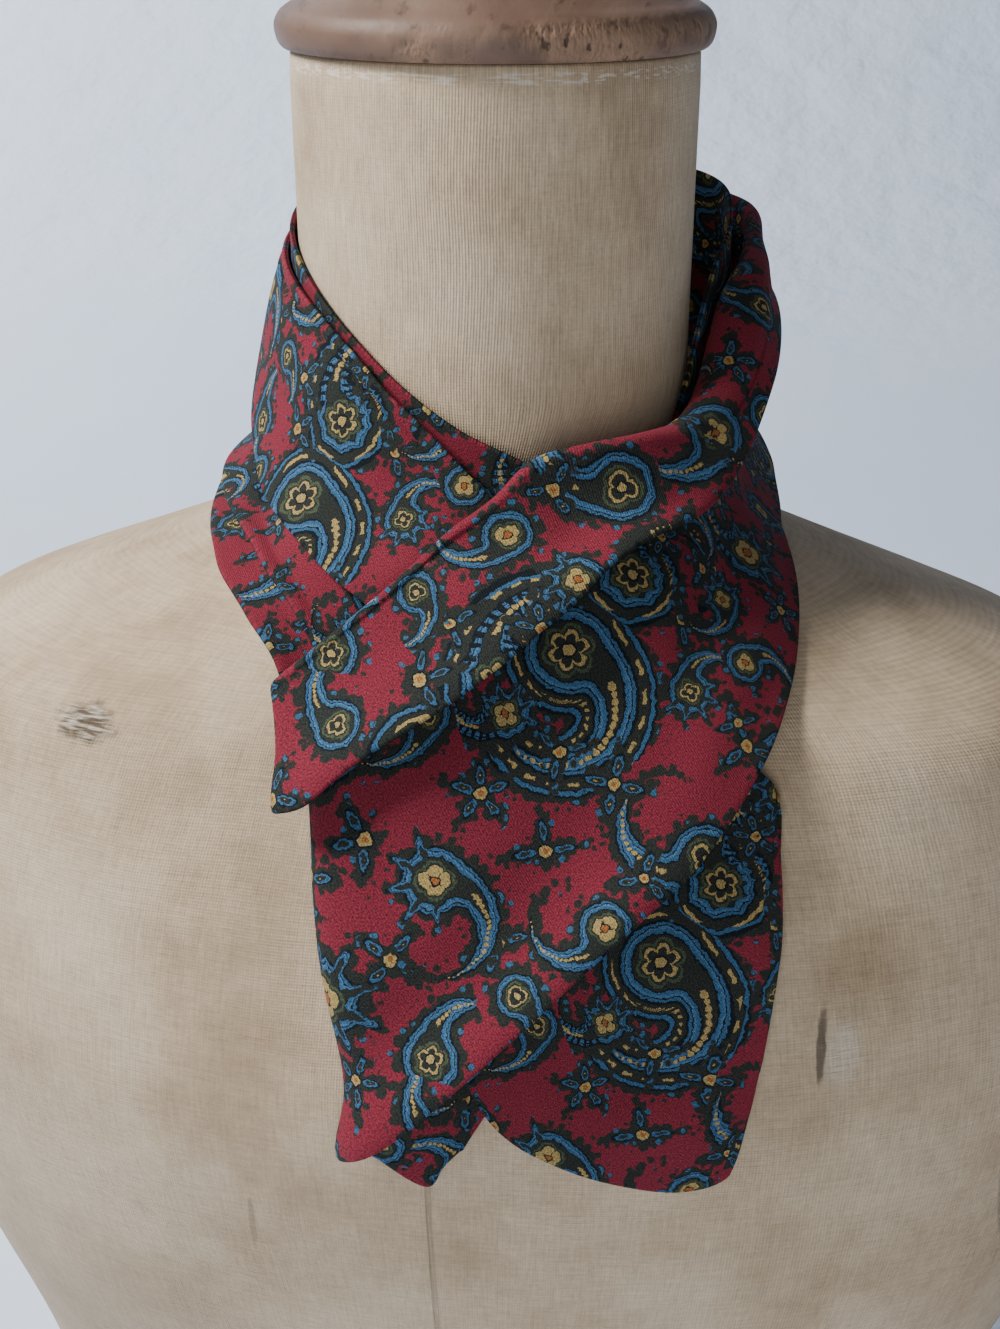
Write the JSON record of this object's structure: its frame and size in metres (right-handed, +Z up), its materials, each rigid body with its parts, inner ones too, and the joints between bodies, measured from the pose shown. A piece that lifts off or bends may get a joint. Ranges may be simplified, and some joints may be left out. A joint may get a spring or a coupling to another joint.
{
  "type": "cravat worn round the neck of a limbless dress form",
  "caption": "Pleated, patterned cravat wrapped round the neck of a limbless dress form, its two blades crossing and lying on the chest.",
  "frame": {"origin": "on the underside of the base board, in the middle of the part's width and depth", "axes": "+Z up along the neck's axis, -Y the way the chest faces, +X to the right as seen from the front"},
  "size_m": [0.4122, 0.2521, 0.5563],
  "materials": {
    "cravat_cloth": "printed twill, crimson ground with blue, dark green and ochre paisleys",
    "linen": "plain natural linen weave, slightly stained",
    "wood": "worn dark stain with a soft sheen"
  },
  "bodies": {
    "root": {"form_base_board": "wood", "form_torso": "linen", "form_neck_cap": "wood", "neck_fold": "cravat_cloth", "left_blade": "cravat_cloth", "left_second_fold": "cravat_cloth", "left_third_fold": "cravat_cloth", "right_blade": "cravat_cloth", "crossing_band": "cravat_cloth"}
  },
  "joints": []
}
